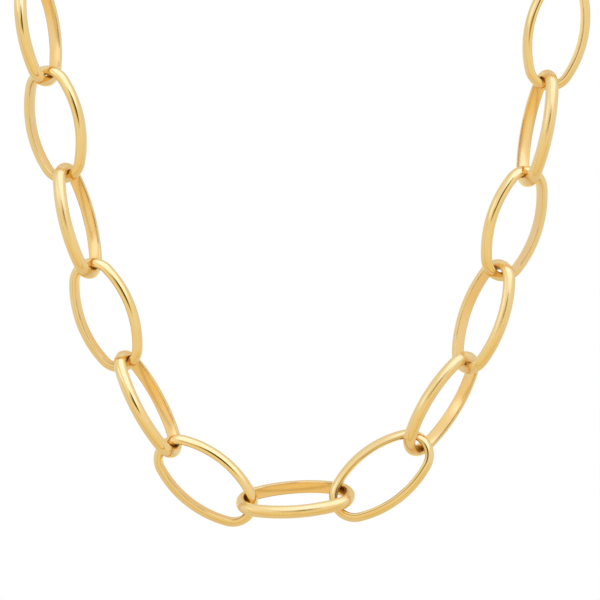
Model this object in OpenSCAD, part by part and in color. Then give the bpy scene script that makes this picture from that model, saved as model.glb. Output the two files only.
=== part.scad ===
// Necklace of large oval links, held as it hangs round a neck.
// Millimetres, +Z up, the wearer's front towards -Y.
// The origin is on the middle line of the neck, level with the clasp at the nape.

/* [Link] */
// Outer length of a link
link_length = 25; // [24:0.5:26]
// Outer width of a link
link_width = 13.9; // [13.4:0.1:14.4]
// Radius of the wire's middle line round the end of a link
end_radius = 4.5; // [4.3:0.1:4.7]

/* [Wire] */
// Width of the wire across its inner face
wire_width = 2.75; // [2.5:0.05:2.8]
// Thickness of the wire from its inner face to the top of its dome
wire_thick = 1.9; // [1.8:0.05:2]
// Radius of the slight crown on the inner face
crown_radius = 8; // [6:1:20]

/* [Fit] */
// Space left between two links where their inner faces come nearest
link_gap = 0.15; // [0.1:0.05:0.25]
// Space left between the clasp and the links it holds
clasp_gap = 0.3; // [0.2:0.05:0.5]

/* [Wearing] */
// How far the chest stretch leans back from upright, in degrees
chest_lean = 20; // [15:1:25]
// Distance from the middle line of the neck back to the clasp
nape_back = 56; // [50:1:60]
// How far the clasp's outer side tips up at the nape, in degrees
clasp_tip = 20; // [15:5:30]

/* [Clasp] */
// Thickness of the wire of the clasp's ring
ring_wire = 2.6; // [2.4:0.1:2.8]
// Inner diameter of the clasp's ring
ring_inner = 7.2; // [7:0.2:8]
// Thickness of the wire of the clasp's eye
eye_wire = 1.8; // [1.6:0.1:2]
// Inner diameter of the clasp's eye
eye_inner = 4.4; // [4.2:0.1:4.8]
// Diameter of the neck between the clasp's ring and its eye
clasp_neck = 2.2; // [1.8:0.1:2.4]
// Diameter of the small stud on the clasp's ring
stud_d = 1.6; // [1.2:0.1:2]

/* [Hidden] */
$fn = 64;
GOLD = [0.90, 0.72, 0.38];

// The thirteen links on the chest, from the viewer's left over the lowest link to the right.
// HEADING turns a link's long axis from the viewer's right towards up, in the plane of the chest.
// LEAN rolls the link about its long axis; at 0 its open side faces straight out of the chest.
HEADING = 0;
LEAN = 1;
CHEST = [
    [-81, -57],
    [-78.5, 27],
    [-76, -65],
    [-69, 20],
    [-62, -66],
    [-38, 14],
    [4, -65],
    [37.5, -8],
    [58, 56],
    [71, -48],
    [72.5, 30],
    [79, -70],
    [78.5, 11],
];

// The links round each side of the neck, from the chest to the nape.
// TURN swings a link inwards from straight back, RISE lifts it above level, ROLL is its lean.
TURN = 0;
RISE = 1;
ROLL = 2;
LEFT_SIDE = [
    [16, 46, 50],
    [36, 35, -24],
    [55, 23, 82],
    [74, 12, 8],
];
RIGHT_SIDE = [
    [13, 44, -75],
    [32, 32, 8],
    [51, 21, -76],
    [71, 10, 6],
];

side_links = len(LEFT_SIDE);
link_count = len(CHEST) + 2 * side_links;
first_chest = side_links;
last_chest = side_links + len(CHEST) - 1;

// A link's middle line is four arcs: a tight one round each end and a wide one along each side.
half_long = (link_length - wire_thick) / 2;
half_short = (link_width - wire_thick) / 2;
reach = half_long - end_radius; // from the link's centre to the centre of an end arc
side_radius = (pow(half_long, 2) - 2 * half_long * end_radius + pow(half_short, 2))
    / (2 * (half_short - end_radius));
side_offset = side_radius - half_short; // from the link's centre to the centre of a side arc
end_sweep = 2 * atan2(side_offset, reach);
side_sweep = 180 - end_sweep;
end_inner = end_radius - wire_thick / 2;

// The inner face ends at an edge where the crown meets the round of the wire.
// Heights in the wire's section are counted from the middle of its inner face.
dome_centre = wire_thick - wire_width / 2;
edge_height = (pow(wire_width / 2, 2) - pow(dome_centre, 2)) / (2 * (crown_radius - dome_centre));
edge_half = sqrt(pow(wire_width / 2, 2) - pow(edge_height - dome_centre, 2));

function unit(v) = v / norm(v);
function squared(v, axis) = unit(v - (v * axis) * axis);
function sag(radius, half_width) = radius - sqrt(pow(radius, 2) - pow(half_width, 2));

// Directions of the long axes, all running from the viewer's left over the lowest link.
out_of_chest = [0, -cos(chest_lean), sin(chest_lean)];
up_chest = [0, sin(chest_lean), cos(chest_lean)];
function chest_axis(row) = cos(row[HEADING]) * [1, 0, 0] + sin(row[HEADING]) * up_chest;
function side_axis(row, side) = [
    -side * sin(row[TURN]) * cos(row[RISE]),
    cos(row[TURN]) * cos(row[RISE]),
    sin(row[RISE])
];
along = concat(
    [for (k = [side_links - 1:-1:0]) -side_axis(LEFT_SIDE[k], -1)],
    [for (row = CHEST) chest_axis(row)],
    [for (row = RIGHT_SIDE) side_axis(row, 1)]
);
roll = concat(
    [for (k = [side_links - 1:-1:0]) LEFT_SIDE[k][ROLL]],
    [for (row = CHEST) row[LEAN]],
    [for (row = RIGHT_SIDE) row[ROLL]]
);

// The way a link with no roll would face: out of the chest there, and carried on from link to
// link round the neck with the least turn.
function carried(v, from, to) = v - (v * to) / (1 + from * to) * (from + to);
function facing(i) =
    i < first_chest ? carried(facing(i + 1), along[i + 1], along[i]) :
    i > last_chest ? carried(facing(i - 1), along[i - 1], along[i]) :
    out_of_chest;
function rolled(v, axis, angle) = cos(angle) * v + sin(angle) * cross(axis, v);
open_side = [for (i = [0:link_count - 1]) rolled(facing(i), along[i], roll[i])];

// Two hooked links pull along the line in which their planes cross. Their broad inner faces
// stand off by what the edges of one face rise in the round of the other.
function pull(normal_a, normal_b, axis) =
    let (d = unit(cross(normal_a, normal_b))) d * axis < 0 ? -d : d;
function crossing(a, b) = let (c = acos(a * b)) min(c, 180 - c);
function stand_off(a, b) =
    let (edge_along = edge_half / tan(crossing(a, b) / 2))
    2 * (sag(end_inner, edge_along) - sag(crown_radius, edge_half)) + link_gap;
function step(i) =
    reach * (along[i] + along[i + 1])
    + (2 * end_inner - stand_off(open_side[i], open_side[i + 1]))
    * pull(open_side[i], open_side[i + 1], along[i] + along[i + 1]);
function strung(i) = i == 0 ? [0, 0, 0] : strung(i - 1) + step(i - 1);

// The clasp runs from its eye on the first link to its ring on the last one.
// Its plane is first set by the tip, then squared to the line between the two ends.
last = link_count - 1;
function clasp_reach(inner) =
    end_inner + inner / 2 - sag(inner / 2, edge_half) + sag(crown_radius, edge_half) - clasp_gap;
function clasp_ends(normal) = [
    -reach * along[0]
        - clasp_reach(eye_inner) * pull(normal, open_side[0], along[0]),
    strung(last) + reach * along[last]
        + clasp_reach(ring_inner) * pull(open_side[last], normal, along[last])
];
nape_facing = [0, cos(clasp_tip), sin(clasp_tip)];
first_ends = clasp_ends(nape_facing);
near_facing = squared(nape_facing, unit(first_ends[1] - first_ends[0]));
clasp_end = clasp_ends(near_facing);
clasp_span = norm(clasp_end[1] - clasp_end[0]);
clasp_along = unit(clasp_end[1] - clasp_end[0]);
clasp_facing = squared(near_facing, clasp_along);

nape = [0, nape_back, 0];
to_nape = nape - (clasp_end[0] + clasp_end[1]) / 2;
function link_name(number) = str("link_", number < 10 ? "0" : "", number);

// Stands a shape at a place, its x along one direction and its z along another
module stood(place, x, z) {
    y = cross(z, x);
    multmatrix([
        [x[0], y[0], z[0], place[0]],
        [x[1], y[1], z[1], place[1]],
        [x[2], y[2], z[2], place[2]],
        [0, 0, 0, 1]
    ]) children();
}

// Section of the wire: round, with its inner side rolled nearly flat
module wire_section(middle_radius) {
    inner = middle_radius - wire_thick / 2;
    intersection() {
        translate([inner + dome_centre, 0]) circle(d = wire_width);
        translate([inner + crown_radius, 0]) circle(r = crown_radius);
    }
}

module wire_arc(middle_radius, sweep) {
    rotate([0, 0, -sweep / 2])
        rotate_extrude(angle = sweep) wire_section(middle_radius);
}

// One closed link round its own centre, its long axis along x
module oval_link() {
    for (half_turn = [0, 180]) rotate([0, 0, half_turn]) {
        translate([reach, 0, 0]) wire_arc(end_radius, end_sweep);
        translate([0, -side_offset, 0])
            rotate([0, 0, 90]) wire_arc(side_radius, side_sweep);
    }
}

module chain_link(number) {
    i = number - 1;
    color(GOLD) stood(to_nape + strung(i), along[i], open_side[i]) oval_link();
}

module wire_ring(inner, wire) {
    rotate_extrude() translate([(inner + wire) / 2, 0]) circle(d = wire);
}

// A closed ring with a stud, and a small eye, joined by a short neck
module clasp() {
    ring_middle = (ring_inner + ring_wire) / 2;
    eye_middle = (eye_inner + eye_wire) / 2;
    neck_start = eye_middle - clasp_span / 2;
    neck_length = clasp_span - eye_middle - ring_middle;
    stud_top = ring_middle + ring_wire / 2 + stud_d;
    color(GOLD) stood(nape, clasp_along, clasp_facing) {
        translate([-clasp_span / 2, 0, 0]) wire_ring(eye_inner, eye_wire);
        translate([clasp_span / 2, 0, 0]) wire_ring(ring_inner, ring_wire);
        translate([neck_start, 0, 0]) rotate([0, 90, 0])
            cylinder(d = clasp_neck, h = neck_length);
        translate([clasp_span / 2, 0, 0]) rotate([-90, 0, 0]) {
            translate([0, 0, ring_middle])
                cylinder(d = stud_d, h = stud_top - ring_middle - stud_d / 2);
            translate([0, 0, stud_top - stud_d / 2]) sphere(d = stud_d);
        }
    }
}

for (number = [1:link_count])
    chain_link(number);
clasp();
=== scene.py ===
"""Link chain necklace: polished oval links of D wire, hanging as worn, and a plain clasp."""

from math import asin, atan2, cos, pi, radians, sin, sqrt

import bpy
import numpy as np
from mathutils import Matrix, Vector
from mathutils.bvhtree import BVHTree


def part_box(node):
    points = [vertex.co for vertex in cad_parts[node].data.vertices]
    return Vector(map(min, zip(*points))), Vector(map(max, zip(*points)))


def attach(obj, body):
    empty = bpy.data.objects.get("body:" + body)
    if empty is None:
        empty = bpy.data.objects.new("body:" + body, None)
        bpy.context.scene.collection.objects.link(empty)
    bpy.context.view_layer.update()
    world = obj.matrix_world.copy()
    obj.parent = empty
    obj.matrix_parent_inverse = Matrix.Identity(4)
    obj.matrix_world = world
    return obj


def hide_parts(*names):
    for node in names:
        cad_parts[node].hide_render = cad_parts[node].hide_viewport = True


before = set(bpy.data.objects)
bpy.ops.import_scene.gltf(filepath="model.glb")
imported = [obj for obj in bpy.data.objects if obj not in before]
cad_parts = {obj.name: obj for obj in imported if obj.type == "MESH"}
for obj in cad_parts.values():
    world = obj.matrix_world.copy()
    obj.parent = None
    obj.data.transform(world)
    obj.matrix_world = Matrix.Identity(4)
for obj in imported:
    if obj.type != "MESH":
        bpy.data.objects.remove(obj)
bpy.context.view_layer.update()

MM = 0.001

# The link and the clasp, in millimetres, with the values of the part's source
LINK_LENGTH = 25.0
LINK_WIDTH = 13.9
END_RADIUS = 4.5
WIRE_WIDTH = 2.75
WIRE_THICK = 1.9
CROWN_RADIUS = 8.0
RING_WIRE = 2.6
RING_INNER = 7.2
EYE_WIRE = 1.8
EYE_INNER = 4.4
CLASP_NECK = 2.2
STUD_WIDE = 1.6
CLASP_GAP = 0.3
CLASP_TIP = radians(20)
NAPE = Vector((0, 56, 0))

# A link's middle line: half its length and width, and from its centre to that of an end arc
HALF_LONG = (LINK_LENGTH - WIRE_THICK) / 2
HALF_SHORT = (LINK_WIDTH - WIRE_THICK) / 2
REACH = HALF_LONG - END_RADIUS

# The wire's section, in heights above the middle of its inner face and widths from its middle
DOME_CENTRE = WIRE_THICK - WIRE_WIDTH / 2
EDGE_HEIGHT = ((WIRE_WIDTH / 2) ** 2 - DOME_CENTRE ** 2) / (2 * (CROWN_RADIUS - DOME_CENTRE))
EDGE_HALF = sqrt((WIRE_WIDTH / 2) ** 2 - (EDGE_HEIGHT - DOME_CENTRE) ** 2)

# How far the wire's two edges are eased by polishing
EDGE_ROUND = 0.15
# The clasp's neck widens where it meets the ring, and the stud's round end stops at a small flat
NECK_FLARE = 1.1
STUD_TIP = 0.97
# The grid on which the clasp's shells are fused, and how far and how often its joints are eased
SOLDER_GRID = 0.1
EASE = 0.5
EASE_ROUNDS = 14

# Steps of the drawn sections and of the bends
CROWN_STEPS = 14
DOME_STEPS = 34
EDGE_STEPS = 4
END_STEPS = 32
SIDE_STEPS = 20
RING_STEPS = 72
ROUND_WIRE_STEPS = 28
STUD_STEPS = 7

# Drawn points nearer than this are merged, and a point nearer than this to a place lies on it
MERGE = 1e-4
ON_PLACE = 1e-3
# Faces that meet at less than this angle are shaded as one round
ROUND_ANGLE = radians(40)

LINKS = sorted(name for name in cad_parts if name.startswith("link_"))
# Links that the wheel has left a little softer than the rest
SOFT_LINKS = ("link_07", "link_11", "link_13", "link_14", "link_16")
# How much stronger than plain the painted shade is where a link holds the next one
SHADE_STRENGTHS = {"link_09": 1.4, "link_10": 1.6, "link_11": 2.2, "link_12": 1.5}


# Working in edit mode

def set_down():
    """Lets go of everything, so that the next tool acts on its own piece alone."""
    if bpy.context.object and bpy.context.object.mode != "OBJECT":
        bpy.ops.object.mode_set(mode="OBJECT")
    bpy.ops.object.select_all(action="DESELECT")


def start_point(place, name):
    """A single point to draw from: a square with its corners merged."""
    set_down()
    bpy.ops.mesh.primitive_plane_add()
    piece = bpy.context.object
    piece.name = piece.data.name = name
    bpy.ops.object.mode_set(mode="EDIT")
    bpy.ops.mesh.select_all(action="SELECT")
    bpy.ops.mesh.merge(type="CENTER")
    bpy.ops.transform.translate(value=place)
    return piece


def start_circle(name, place, radius, turn, filled=False):
    """A round wire's section, ready to be spun or drawn out."""
    set_down()
    bpy.ops.mesh.primitive_circle_add(vertices=ROUND_WIRE_STEPS, radius=radius, location=place,
                                      rotation=turn, fill_type="NGON" if filled else "NOTHING")
    piece = bpy.context.object
    piece.name = piece.data.name = name
    bpy.ops.object.transform_apply()
    bpy.ops.object.mode_set(mode="EDIT")
    bpy.ops.mesh.select_all(action="SELECT")
    return piece


def close_up(piece):
    """Merges what meets and turns the faces outwards."""
    bpy.ops.mesh.select_all(action="SELECT")
    bpy.ops.mesh.remove_doubles(threshold=MERGE)
    bpy.ops.mesh.normals_make_consistent(inside=False)
    bpy.ops.object.mode_set(mode="OBJECT")
    return piece


def pick_points(piece, wanted):
    """Selects the points whose place passes a test, and only those."""
    bpy.ops.mesh.select_all(action="DESELECT")
    bpy.ops.object.mode_set(mode="OBJECT")
    for point in piece.data.vertices:
        point.select = wanted(point.co)
    bpy.ops.object.mode_set(mode="EDIT")
    bpy.ops.mesh.select_mode(type="VERT")


def mark(piece, name, kind, values):
    """Keeps a value for each point of a piece, for its finish to read."""
    layer = piece.data.attributes.new(name, kind, "POINT")
    layer.data.foreach_set("value" if kind == "FLOAT" else "vector", np.ravel(values))


def points_of(piece):
    """The places of a piece's points, a row for each."""
    flat = np.empty(len(piece.data.vertices) * 3)
    piece.data.vertices.foreach_get("co", flat)
    return flat.reshape(-1, 3)


# Places in the frame

def stand(place, x, z):
    """The turn and place of a piece, from where its middle, its x and its z go."""
    turn = Matrix((x, z.cross(x), z)).transposed().to_4x4()
    return Matrix.Translation(place) @ turn


def place_of(node):
    """Where a link of the frame lies: its centre, and its long, short and open axes, from the
    second moments of the tetrahedra that its triangles make with one point."""
    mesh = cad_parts[node].data
    mesh.calc_loop_triangles()
    triangles = np.empty(len(mesh.loop_triangles) * 3, int)
    mesh.loop_triangles.foreach_get("vertices", triangles)
    a, b, c = points_of(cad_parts[node])[triangles.reshape(-1, 3)].transpose(1, 0, 2)
    volume = np.einsum("ij,ij->i", a, np.cross(b, c)) / 6
    centre = (volume[:, None] * (a + b + c) / 4).sum(0) / volume.sum()
    a, b, c = a - centre, b - centre, c - centre
    volume = np.einsum("ij,ij->i", a, np.cross(b, c)) / 6
    moment = sum(np.einsum("i,ij,ik->jk", volume, p, p) for p in (a, b, c, a + b + c))
    axes = np.linalg.eigh(moment)[1]
    return stand(Vector(centre), Vector(axes[:, 2]), Vector(axes[:, 0]))


def copy_to(pattern, name, place):
    """A copy with a mesh of its own, its place in its mesh."""
    set_down()
    piece = pattern.copy()
    piece.data = pattern.data.copy()
    piece.name = piece.data.name = name
    bpy.context.scene.collection.objects.link(piece)
    piece.data.transform(place)
    piece.data.update()
    return piece


# The link

def draw_wire_section(name, inner):
    """The wire's outline: a slightly crowned inner face, two eased edges and a round dome."""
    crown_sweep = 2 * asin(EDGE_HALF / CROWN_RADIUS)
    dome_sweep = 2 * pi - 2 * atan2(EDGE_HALF, DOME_CENTRE - EDGE_HEIGHT)

    section = start_point((inner + EDGE_HEIGHT, 0, -EDGE_HALF), name)
    bpy.ops.mesh.spin(steps=CROWN_STEPS, angle=-crown_sweep,
                      center=(inner + CROWN_RADIUS, 0, 0), axis=(0, 1, 0))
    bpy.ops.mesh.spin(steps=DOME_STEPS, angle=-dome_sweep,
                      center=(inner + DOME_CENTRE, 0, 0), axis=(0, 1, 0))
    bpy.ops.mesh.select_all(action="SELECT")
    bpy.ops.mesh.remove_doubles(threshold=MERGE)
    pick_points(section, lambda co: abs(co.x - inner - EDGE_HEIGHT) < ON_PLACE
                and abs(abs(co.z) - EDGE_HALF) < ON_PLACE)
    bpy.ops.mesh.bevel(offset=EDGE_ROUND, segments=EDGE_STEPS, affect="VERTICES")

    set_down()
    height, across = points_of(section)[:, 0] - inner, points_of(section)[:, 2]
    turn = np.arctan2(across, height - WIRE_THICK / 2)
    mark(section, "round_wire", "FLOAT_VECTOR", np.stack([np.cos(turn), np.sin(turn), 0 * turn], 1))
    mark(section, "lift", "FLOAT", height)
    mark(section, "across", "FLOAT", np.abs(across))
    bpy.ops.object.mode_set(mode="EDIT")
    return section


def bend_link():
    """One closed link round the origin, in millimetres, its long axis along x. The section is
    bent round half an end, a side, an end, a side and the other half end."""
    side_radius = ((HALF_LONG ** 2 - 2 * HALF_LONG * END_RADIUS + HALF_SHORT ** 2)
                   / (2 * (HALF_SHORT - END_RADIUS)))
    side_offset = side_radius - HALF_SHORT
    end_sweep = 2 * atan2(side_offset, REACH)

    link = draw_wire_section("link_pattern", HALF_LONG - WIRE_THICK / 2)
    bpy.ops.mesh.select_all(action="SELECT")
    for sweep, centre, steps in (
            (end_sweep / 2, (REACH, 0, 0), END_STEPS // 2),
            (pi - end_sweep, (0, -side_offset, 0), SIDE_STEPS),
            (end_sweep, (-REACH, 0, 0), END_STEPS),
            (pi - end_sweep, (0, side_offset, 0), SIDE_STEPS),
            (end_sweep / 2, (REACH, 0, 0), END_STEPS // 2)):
        bpy.ops.mesh.spin(steps=steps, angle=-sweep, center=centre, axis=(0, 0, 1))
    close_up(link)
    link.select_set(True)
    bpy.ops.object.shade_smooth_by_angle(angle=ROUND_ANGLE)
    along = points_of(link) / (HALF_LONG, HALF_SHORT, 1)
    along[:, 2] = 0
    mark(link, "along_wire", "FLOAT_VECTOR", along / np.linalg.norm(along, axis=1)[:, None])
    return link


# The clasp

def sag(radius, half_width):
    """How far a round falls away at half a width from its middle."""
    return radius - sqrt(radius ** 2 - half_width ** 2)


def hooked_middle(link, inner, facing):
    """Middle of a ring of the clasp that hooks into a link's end at the nape. Ring and link pull
    along the line in which their planes cross."""
    place = place_of(link)
    centre = place.translation / MM
    along, open_side = place.col[0].xyz, place.col[2].xyz
    along *= 1 if along.dot(NAPE - centre) > 0 else -1
    pull = facing.cross(open_side).normalized()
    pull *= 1 if pull.dot(along) > 0 else -1
    link_reach = END_RADIUS - WIRE_THICK / 2 + sag(CROWN_RADIUS, EDGE_HALF)
    ring_reach = inner / 2 - sag(inner / 2, EDGE_HALF)
    return centre + REACH * along + (link_reach + ring_reach - CLASP_GAP) * pull


def lay_clasp():
    """The clasp's span from the middle of its eye to that of its ring, and its place. It is first
    set by the tip at the nape, then squared to the line between its two ends."""
    facing = Vector((0, cos(CLASP_TIP), sin(CLASP_TIP)))
    for _ in range(2):
        eye = hooked_middle(LINKS[0], EYE_INNER, facing)
        ring = hooked_middle(LINKS[-1], RING_INNER, facing)
        along = (ring - eye).normalized()
        facing = (facing - facing.dot(along) * along).normalized()
    return (ring - eye).length, stand((eye + ring) / 2, along, facing)


def spin_ring(name, centre, inner, wire):
    """A closed ring of round wire, lying flat."""
    middle = (inner + wire) / 2
    ring = start_circle(name, (centre + middle, 0, 0), wire / 2, (pi / 2, 0, 0))
    bpy.ops.mesh.spin(steps=RING_STEPS, angle=2 * pi, center=(centre, 0, 0), axis=(0, 0, 1))
    return close_up(ring)


def draw_out(name, place, radius, turn, steps):
    """A round bar drawn out from a filled section: each step goes on by a length and scales
    the end."""
    bar = start_circle(name, place, radius, turn, filled=True)
    way = Matrix.Rotation(turn[0], 3, "X") @ Matrix.Rotation(turn[1], 3, "Y") @ Vector((0, 0, 1))
    for length, scale in steps:
        bpy.ops.mesh.extrude_region_move(TRANSFORM_OT_translate={"value": way * length})
        bpy.ops.transform.resize(value=(scale, scale, scale))
    return close_up(bar)


def dome_steps(radius):
    """The rounded end of a bar: lengths and scales that follow a quarter circle."""
    angles = [i * pi / 2 / STUD_STEPS for i in range(STUD_STEPS)] + [pi / 2 * STUD_TIP]
    return [(radius * (sin(b) - sin(a)), cos(b) / cos(a)) for a, b in zip(angles, angles[1:])]


def fuse(shells, name):
    """Joins shells that pass into each other into one skin, as solder does, and eases it."""
    set_down()
    for shell in shells:
        shell.select_set(True)
    fused = shells[0]
    bpy.context.view_layer.objects.active = fused
    bpy.ops.object.join()
    fused.name = fused.data.name = name
    solder = fused.modifiers.new("solder", "REMESH")
    solder.mode = "VOXEL"
    solder.voxel_size = SOLDER_GRID
    solder.use_smooth_shade = True
    bpy.ops.object.modifier_apply(modifier="solder")
    polish = fused.modifiers.new("polish", "SMOOTH")
    polish.factor = EASE
    polish.iterations = EASE_ROUNDS
    bpy.ops.object.modifier_apply(modifier="polish")
    return fused


def make_clasp(span):
    """The ring with its stud and the small eye, soldered to a short neck, in millimetres."""
    ring_middle = (RING_INNER + RING_WIRE) / 2
    eye_middle = (EYE_INNER + EYE_WIRE) / 2
    ring_centre = span / 2
    neck_start = eye_middle - ring_centre
    neck_third = (span - eye_middle - ring_middle) / 3
    stud_root = RING_WIRE / 4
    return fuse([
        spin_ring("ring", ring_centre, RING_INNER, RING_WIRE),
        spin_ring("eye", -ring_centre, EYE_INNER, EYE_WIRE),
        draw_out("neck", (neck_start, 0, 0), CLASP_NECK / 2, (0, pi / 2, 0),
                 [(neck_third, 1), (neck_third, 1), (neck_third, NECK_FLARE)]),
        draw_out("stud", (ring_centre, ring_middle + stud_root, 0), STUD_WIDE / 2, (-pi / 2, 0, 0),
                 [(stud_root + STUD_WIDE / 2, 1)] + dome_steps(STUD_WIDE / 2)),
    ], "clasp_polished")


# Where one piece sits on another, which the gold reads to paint shade there

TOUCH_REACH = 2.0 * MM
# How much a point counts that faces sideways from the other piece
SIDEWAYS = 0.3


def nearness(point, tree):
    """How closely a point faces the nearest place of another piece, from 0 to 1."""
    place, _, _, gap = tree.find_nearest(point.co, TOUCH_REACH)
    if place is None:
        return 0
    facing = point.normal.dot((place - point.co).normalized())
    return (1 - gap / TOUCH_REACH) * min(max(SIDEWAYS + facing, 0), 1)


def mark_touch(piece, seats):
    """Keeps, for each point, how closely it faces the pieces that the piece hooks into, which the
    gold reads to paint shade there. A seat is the other piece and how much stronger than plain its
    painted shade is."""
    mark(piece, "touch", "FLOAT", [max(painted_shade * nearness(point, tree) for tree, painted_shade in seats)
                                   for point in piece.data.vertices])


# Nodes

# The sockets of a mix node that hold its factor, its two colours and its result
MIX_FACTOR = 0
MIX_BELOW = 6
MIX_ABOVE = 7
MIX_RESULT = 2


def add_node(tree, kind, inputs=None, **settings):
    """A node with its settings made and its inputs set or joined."""
    made = tree.nodes.new(kind)
    for name, value in settings.items():
        setattr(made, name, value)
    for socket, value in (inputs or {}).items():
        if isinstance(value, bpy.types.NodeSocket):
            tree.links.new(value, made.inputs[socket])
        else:
            made.inputs[socket].default_value = value
    return made


def blend(tree, factor, below, above, way="MIX"):
    """Lays one colour over another."""
    return add_node(tree, "ShaderNodeMix",
                    {MIX_FACTOR: factor, MIX_BELOW: below, MIX_ABOVE: above},
                    data_type="RGBA", blend_type=way).outputs[MIX_RESULT]


def reckon(tree, operation, *values):
    """One step of arithmetic."""
    return add_node(tree, "ShaderNodeMath", dict(enumerate(values)), operation=operation).outputs[0]


def times(tree, a, b):
    """One value times another."""
    return reckon(tree, "MULTIPLY", a, b)


def length_of(tree, x, y):
    """The length of what lies x one way and y square to it."""
    return reckon(tree, "SQRT", reckon(tree, "ADD", times(tree, x, x), times(tree, y, y)))


def spread(tree, value, low, high, to_low=0.0, to_high=1.0):
    """Maps a value softly from one range to another."""
    return add_node(tree, "ShaderNodeMapRange",
                    {"Value": value, "From Min": low, "From Max": high,
                     "To Min": to_low, "To Max": to_high},
                    interpolation_type="SMOOTHSTEP").outputs[0]


def noise(tree, place, scale, detail):
    """A smooth random value, from 0 to 1, for each place."""
    return add_node(tree, "ShaderNodeTexNoise",
                    {"Vector": place, "Scale": scale, "Detail": detail}).outputs["Fac"]


def new_group(name, ins, outs):
    """An empty shader node group with named inputs and outputs."""
    group = bpy.data.node_groups.new(name, "ShaderNodeTree")
    for socket, kind in ins.items():
        group.interface.new_socket(socket, in_out="INPUT", socket_type="NodeSocket" + kind)
    for socket, kind in outs.items():
        group.interface.new_socket(socket, in_out="OUTPUT", socket_type="NodeSocket" + kind)
    return group, group.nodes.new("NodeGroupInput").outputs, group.nodes.new("NodeGroupOutput")


# The finish

# Scales of its noises: broad patches of tone, a fine haze, slow waves, and marks of two kinds
PATCH_SCALE = 190.0
HAZE_SCALE = 640.0
WAVE_SCALE = 210.0
LAID_MARK_SCALE = 8.0
TUMBLED_MARK_SCALE = 2600.0
# How much slower the laid marks change along the wire than round it
LAY_STRETCH = 0.25
# Heights above the inner face over which it gives way to the round of the wire
INNER_FACE = (0.05, 0.13)
# The painted dark line along the edges, a painted reflection: its half width, and its share of the
# tone in patches
LINE_WIDE = (0.08, 0.24)
LINE_PATCHES = (0.42, 0.66)
LINE_SHARE = (0.10, 0.55)
# The painted highlight beside it: how far it lies off the edge, its half width, and its share of
# the tone
HIGHLIGHT_OFF = 0.36
HIGHLIGHT_WIDE = (0.06, 0.20)
HIGHLIGHT_PATCHES = (0.35, 0.62)
HIGHLIGHT_SHARE = 0.5
# Nearness of another piece at which painted shade darkens the gold, covers it in brown, and deepens
SEAT_NEAR = (0.10, 0.70)
SEAT_SHARE = 0.50
PAINTED_SHADE_NEAR = (0.40, 0.80)
DEEP_NEAR = (0.80, 1.25)
PAINTED_SHADE_PATCHES = (0.3, 0.6)
PAINTED_SHADE_SHARE = (0.85, 1.0)
# The change from rich to pale gold, and the share of the deep tone painted on the inner face as
# reflected light
TONE_PATCHES = (0.3, 0.7)
DEEP_SHARE = (0.75, 0.35)
# Roughness of the inner face, and what haze and the painted shade add to the roughness
INNER_POLISH = 0.18
HAZE_PATCHES = (0.35, 0.75)
HAZE_DULL = 0.04
PAINTED_SHADE_DULL = 0.12

# Roughness of the three finishes, and the heights of their waves and marks in millimetres
BRIGHT_POLISH = 0.06
SOFT_POLISH = 0.24
CLASP_POLISH = 0.10
LINK_WAVES = 0.012
CLASP_WAVES = 0.010
MARK_HEIGHT = 0.0002

# Tones of the gold: two in patches, one painted on the inner face for the light it reflects,
# painted
# # shade where pieces sit on each other, painted brown shade, and the painted dark of edge lines
# and deep shade
GOLD_TONES = {
    "Rich": (0.935, 0.715, 0.335, 1),
    "Pale": (0.96, 0.755, 0.39, 1),
    "Deep": (1.00, 0.68, 0.275, 1),
    "Seat Shade": (0.90, 0.56, 0.10, 1),
    "Painted Brown": (0.48, 0.20, 0.006, 1),
    "Painted Dark": (0.15, 0.034, 0.001, 1),
}


def paint_edge_lines(group, given, patch, haze, inside):
    """A fine painted dark line along the wire's edges, a painted reflection, and a painted pale
    highlight beside it.
    """
    off_edge = length_of(group, reckon(group, "SUBTRACT", given["Lift"], EDGE_HEIGHT),
                         reckon(group, "SUBTRACT", given["Across"], EDGE_HALF))
    line = times(group, spread(group, off_edge, *LINE_WIDE, 1.0, 0.0),
                 spread(group, patch, *LINE_PATCHES, *LINE_SHARE))
    off_highlight = reckon(group, "ABSOLUTE", reckon(group, "SUBTRACT", off_edge, HIGHLIGHT_OFF))
    edge_highlight = times(group, spread(group, off_highlight, *HIGHLIGHT_WIDE, 1.0, 0.0),
                spread(group, haze, *HIGHLIGHT_PATCHES, 0.5, 1.0))
    return line, times(group, edge_highlight, reckon(group, "SUBTRACT", 1.0, inside))


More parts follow.
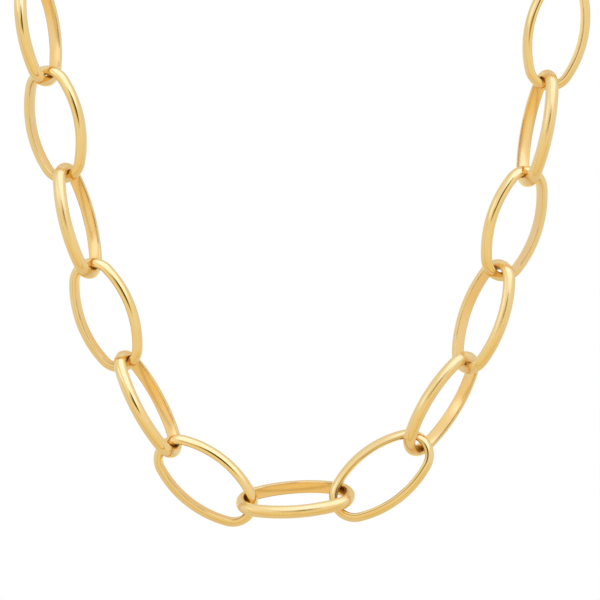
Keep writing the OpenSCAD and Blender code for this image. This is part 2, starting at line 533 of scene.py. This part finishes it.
def plating_group():
    """The plating's tone and haze. The inner face keeps a deeper, more orange tone, a painted
    reflection of the warm light the gold casts onto it. Where one piece sits on another the gold is
    painted darker, with a matt brown painted shade on the inner face, deepest where they lie
    closest."""
    group, given, out = new_group(
        "plating",
        {"Place": "Vector", "Lift": "Float", "Across": "Float", "Touch": "Float",
         "Polish": "Float", **dict.fromkeys(GOLD_TONES, "Color")},
        {"Color": "Color", "Bare Metal": "Float", "Roughness": "Float"})
    patch = noise(group, given["Place"], PATCH_SCALE, 3.0)
    haze = noise(group, given["Place"], HAZE_SCALE, 4.0)
    inside = spread(group, given["Lift"], *INNER_FACE, 1.0, 0.0)
    # Painted reflection: a dark line along the edges and a pale highlight beside it
    line, edge_highlight = paint_edge_lines(group, given, patch, haze, inside)
    # Painted shade where one piece sits on another: darker gold, then a matt brown cover on the
    # inner face
    seat = spread(group, given["Touch"], *SEAT_NEAR, 0.0, SEAT_SHARE)
    painted_shade = times(group, spread(group, given["Touch"], *PAINTED_SHADE_NEAR), inside)
    painted_shade = times(group, painted_shade, spread(group, haze, *PAINTED_SHADE_PATCHES, *PAINTED_SHADE_SHARE))
    painted_shade_depth = spread(group, given["Touch"], *DEEP_NEAR)
    painted_shade_tone = blend(group, painted_shade_depth, given["Painted Brown"], given["Painted Dark"])
    # Painted reflection: a deeper, more orange tone on the inner face
    hollow = times(group, inside, spread(group, patch, *TONE_PATCHES, *DEEP_SHARE))

    tone = blend(group, spread(group, patch, *TONE_PATCHES), given["Rich"], given["Pale"])
    # Over the patches go, in turn: the inner face's painted reflection tone, painted shade at the
    # seat, the painted edge highlight, the painted dark edge line and the painted brown shade
    tone = blend(group, hollow, tone, given["Deep"])
    tone = blend(group, seat, tone, given["Seat Shade"])
    tone = blend(group, times(group, edge_highlight, HIGHLIGHT_SHARE), tone, given["Pale"])
    tone = blend(group, line, tone, given["Painted Dark"])
    tone = blend(group, painted_shade, tone, painted_shade_tone)

    covered = reckon(group, "MAXIMUM", painted_shade, line)
    inner_dull = times(group, inside, reckon(group, "SUBTRACT", INNER_POLISH, given["Polish"]))
    dull = reckon(group, "ADD", spread(group, haze, *HAZE_PATCHES, 0.0, HAZE_DULL), inner_dull)
    dull = reckon(group, "ADD", dull, times(group, painted_shade, PAINTED_SHADE_DULL))
    group.links.new(tone, out.inputs["Color"])
    group.links.new(reckon(group, "SUBTRACT", 1.0, covered), out.inputs["Bare Metal"])
    group.links.new(reckon(group, "ADD", given["Polish"], dull), out.inputs["Roughness"])
    return group


def buffing_group():
    """What the buffing wheel leaves, in millimetres of height: slow waves and fine marks."""
    group, given, out = new_group(
        "buffing",
        {"Place": "Vector", "Marks": "Float", "Wave Height": "Float", "Mark Height": "Float"},
        {"Height": "Float"})
    wave = noise(group, given["Place"], WAVE_SCALE, 1.0)
    height = reckon(group, "ADD", times(group, wave, given["Wave Height"]),
                    times(group, given["Marks"], given["Mark Height"]))
    group.links.new(height, out.inputs["Height"])
    return group


def kept_value(tree, name, output):
    """A value that a piece keeps for each of its points."""
    return add_node(tree, "ShaderNodeAttribute", attribute_name=name).outputs[output]


def marks_along_wire(tree):
    """Fine marks that run along the wire, as the wheel leaves them on a bent link."""
    slow = add_node(tree, "ShaderNodeVectorMath",
                    {0: kept_value(tree, "along_wire", "Vector"), "Scale": LAY_STRETCH},
                    operation="SCALE").outputs[0]
    run = add_node(tree, "ShaderNodeSeparateXYZ", {0: slow}).outputs
    lap = add_node(tree, "ShaderNodeSeparateXYZ",
                   {0: kept_value(tree, "round_wire", "Vector")}).outputs
    lay = add_node(tree, "ShaderNodeCombineXYZ", {0: run[0], 1: run[1], 2: lap[0]}).outputs[0]
    return add_node(tree, "ShaderNodeTexNoise",
                    {"Vector": lay, "W": lap[1], "Scale": LAID_MARK_SCALE, "Detail": 2.0},
                    noise_dimensions="4D").outputs["Fac"]


def marks_all_ways(tree, place):
    """Fine marks with no lay, as tumbling leaves them on a small casting."""
    return noise(tree, place, TUMBLED_MARK_SCALE, 2.0)


def polished_gold(name, groups, polish, wave_height, with_lay=True):
    """Yellow-gold plating on brass, bright and clean."""
    gold = bpy.data.materials.new(name)
    gold.use_nodes = True
    tree = gold.node_tree
    plating, buffing = groups
    place = add_node(tree, "ShaderNodeTexCoord").outputs["Object"]
    tone = add_node(tree, "ShaderNodeGroup", node_tree=plating)
    for socket, colour in GOLD_TONES.items():
        tone.inputs[socket].default_value = colour
    tone.inputs["Polish"].default_value = polish
    tree.links.new(place, tone.inputs["Place"])
    for socket in ("Lift", "Across", "Touch"):
        tree.links.new(kept_value(tree, socket.lower(), "Fac"), tone.inputs[socket])
    relief = add_node(tree, "ShaderNodeGroup", node_tree=buffing)
    relief.inputs["Wave Height"].default_value = wave_height
    relief.inputs["Mark Height"].default_value = MARK_HEIGHT
    marks = marks_along_wire(tree) if with_lay else marks_all_ways(tree, place)
    tree.links.new(place, relief.inputs["Place"])
    tree.links.new(marks, relief.inputs["Marks"])
    bump = add_node(tree, "ShaderNodeBump", {"Height": relief.outputs[0], "Distance": MM})
    shader = tree.nodes["Principled BSDF"]
    shader.inputs["Specular IOR Level"].default_value = 0.0
    tree.links.new(tone.outputs["Color"], shader.inputs["Base Color"])
    tree.links.new(tone.outputs["Bare Metal"], shader.inputs["Metallic"])
    tree.links.new(tone.outputs["Roughness"], shader.inputs["Roughness"])
    tree.links.new(bump.outputs[0], shader.inputs["Normal"])
    return gold


# Stage, light and camera

CHEST_LEAN = radians(20)
RIGHT = Vector((1, 0, 0))
OUT_OF_CHEST = Vector((0, -cos(CHEST_LEAN), sin(CHEST_LEAN)))
UP_CHEST = Vector((0, sin(CHEST_LEAN), cos(CHEST_LEAN)))

FLOOR_LEVEL = -0.6
FLOOR_SIZE = 12
PLAIN_WHITE = (1, 1, 1, 1)
PLAIN_BLACK = (0, 0, 0, 1)

# Where the camera looks, from the middle of the lowest link, and how far off it stands, then its
# lens and the width of its film, all in millimetres. The last is how far it sees, in metres.
LOOK_RIGHT = 0.962
LOOK_UP = 41.754
STAND_OFF = 1047.6
LENS = 300
FILM_WIDE = 36
FAR_CLIP = 20

# The room's colour from behind the necklace, over its sides, to straight in front of it
ROOM = (
    (0.00, (0.97, 0.93, 0.62)),
    (0.08, (0.93, 0.87, 0.68)),
    (0.24, (0.76, 0.77, 0.89)),
    (0.50, (0.84, 0.80, 0.81)),
    (0.745, (0.90, 0.82, 0.66)),
    (0.775, (0.38, 0.26, 0.08)),
    (0.800, (0.92, 0.83, 0.64)),
    (1.00, (0.89, 0.80, 0.60)),
)
# Tint of what lies below, from straight down to level
BELOW = (
    (0.00, (0.95, 0.87, 0.68)),
    (0.20, (0.97, 0.89, 0.70)),
    (0.45, (1.00, 1.00, 1.00)),
)
# Lamps and darks. Each has its turn from the right towards up, its angle off the camera's line,
# half its size across that line and away from it, how soft its rim is, and its colour.
SPOTS = (
    (72, 149, 36, 24, 0.35, (0.79, 0.67, 0.50)),
    (75, 64, 62, 56, 0.25, (0.91, 0.88, 0.80)),
    (72, 60, 36, 38, 0.12, (1.22, 1.28, 1.58)),
    (146, 50, 15, 34, 0.20, (0.93, 0.90, 0.81)),
    (154, 57, 8, 15, 0.50, (1.20, 1.22, 1.38)),
    (57, 14.5, 11, 14, 0.20, (0.50, 0.36, 0.05)),
    (57, 14.5, 7.5, 10.5, 0.20, (0.035, 0.022, 0.002)),
    (150, 12, 5, 8, 0.35, (0.46, 0.32, 0.12)),
)


def stand_stage():
    """A wide plain white floor, which the gold doesn't mirror."""
    set_down()
    bpy.ops.mesh.primitive_plane_add(size=FLOOR_SIZE, location=(0, 0, FLOOR_LEVEL))
    floor = bpy.context.object
    floor.name = "floor"
    pale = bpy.data.materials.new("pale_floor")
    pale.use_nodes = True
    shader = pale.node_tree.nodes["Principled BSDF"]
    shader.inputs["Base Color"].default_value = PLAIN_BLACK
    shader.inputs["Specular IOR Level"].default_value = 0.0
    shader.inputs["Emission Color"].default_value = PLAIN_WHITE
    shader.inputs["Emission Strength"].default_value = 1.0
    floor.data.materials.append(pale)
    floor.visible_glossy = floor.visible_diffuse = floor.visible_shadow = False


def from_camera_side(turn_deg, off_deg):
    """A direction from the necklace, given round and off the line to the camera."""
    turn, off = radians(turn_deg), radians(off_deg)
    return cos(off) * OUT_OF_CHEST + sin(off) * (cos(turn) * RIGHT + sin(turn) * UP_CHEST)


def light_room():
    """A soft studio: a pale room with broad lamps and a few darks, and plain white to the eye."""
    room = bpy.data.worlds.new("studio")
    bpy.context.scene.world = room
    room.use_nodes = True
    tree = room.node_tree
    view = add_node(tree, "ShaderNodeTexCoord").outputs["Generated"]

    def towards(direction):
        """How far the view goes along a direction, from -1 to 1."""
        return add_node(tree, "ShaderNodeVectorMath", {0: view, 1: direction},
                        operation="DOT_PRODUCT").outputs["Value"]

    def ramp(direction, stops):
        """Colours that follow on each other from opposite a direction to straight along it."""
        level = reckon(tree, "MULTIPLY_ADD", towards(direction), 0.5, 0.5)
        shades = add_node(tree, "ShaderNodeValToRGB", {0: level})
        shades.color_ramp.interpolation = "EASE"
        while len(shades.color_ramp.elements) < len(stops):
            shades.color_ramp.elements.new(0.5)
        for stop, (place, colour) in zip(shades.color_ramp.elements, stops):
            stop.position = place
            stop.color = (*colour, 1)
        return shades.outputs[0]

    light = blend(tree, 1.0, ramp(OUT_OF_CHEST, ROOM), ramp(UP_CHEST, BELOW), way="MULTIPLY")
    for turn, off, half_across, half_away, rim, colour in SPOTS:
        middle = from_camera_side(turn, off)
        away = from_camera_side(turn, off + 90)
        x = reckon(tree, "DIVIDE", towards(middle.cross(away)), sin(radians(half_across)))
        y = reckon(tree, "DIVIDE", towards(away), sin(radians(half_away)))
        inside = spread(tree, length_of(tree, x, y), 1 - rim, 1 + rim, 1.0, 0.0)
        inside = times(tree, inside, reckon(tree, "GREATER_THAN", towards(middle), 0.0))
        light = blend(tree, inside, light, (*colour, 1))
    seen = add_node(tree, "ShaderNodeLightPath").outputs["Is Camera Ray"]
    tree.links.new(blend(tree, seen, light, PLAIN_WHITE), tree.nodes["Background"].inputs["Color"])


def aim_camera():
    """Square to the chest stretch, as in the photo."""
    low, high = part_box("link_11")
    target = (low + high) / 2 + LOOK_RIGHT * MM * RIGHT + LOOK_UP * MM * UP_CHEST
    data = bpy.data.cameras.new("camera")
    data.lens = LENS
    data.sensor_width = FILM_WIDE
    data.clip_end = FAR_CLIP
    camera = bpy.data.objects.new("camera", data)
    bpy.context.scene.collection.objects.link(camera)
    turn = Matrix((RIGHT, UP_CHEST, OUT_OF_CHEST)).transposed().to_4x4()
    camera.matrix_world = Matrix.Translation(target + STAND_OFF * MM * OUT_OF_CHEST) @ turn
    bpy.context.scene.camera = camera


# Making it

aim_camera()
groups = plating_group(), buffing_group()
link_gold = polished_gold("link_gold", groups, BRIGHT_POLISH, LINK_WAVES)
soft_gold = polished_gold("soft_gold", groups, SOFT_POLISH, LINK_WAVES)
clasp_gold = polished_gold("clasp_gold", groups, CLASP_POLISH, CLASP_WAVES, with_lay=False)

link_pattern = bend_link()
links = [copy_to(link_pattern, name + "_polished", place_of(name) @ Matrix.Scale(MM, 4))
         for name in LINKS]
bpy.data.objects.remove(link_pattern)

clasp_span, clasp_place = lay_clasp()
clasp = make_clasp(clasp_span)
clasp.data.transform(Matrix.Scale(MM, 4) @ clasp_place)
mark(clasp, "lift", "FLOAT", [WIRE_THICK] * len(clasp.data.vertices))
mark(clasp, "across", "FLOAT", [0.0] * len(clasp.data.vertices))

# The loop is closed, so the piece before the first is the last
loop = links + [clasp]
nodes = LINKS + ["clasp"]
golds = [soft_gold if name in SOFT_LINKS else link_gold for name in LINKS] + [clasp_gold]
# How strong the painted shade is at each piece's joints
shade_strengths = [SHADE_STRENGTHS.get(name, 1) for name in nodes]
trees = [BVHTree.FromPolygons([v.co for v in piece.data.vertices],
                              [p.vertices for p in piece.data.polygons]) for piece in loop]
for i, piece in enumerate(loop):
    ahead = (i + 1) % len(loop)
    mark_touch(piece, ((trees[i - 1], shade_strengths[i - 1]), (trees[ahead], shade_strengths[i])))
    piece.data.materials.clear()
    piece.data.materials.append(golds[i])
    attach(piece, "root")
    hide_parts(nodes[i])

stand_stage()
light_room()
bpy.context.scene.view_settings.view_transform = "Standard"
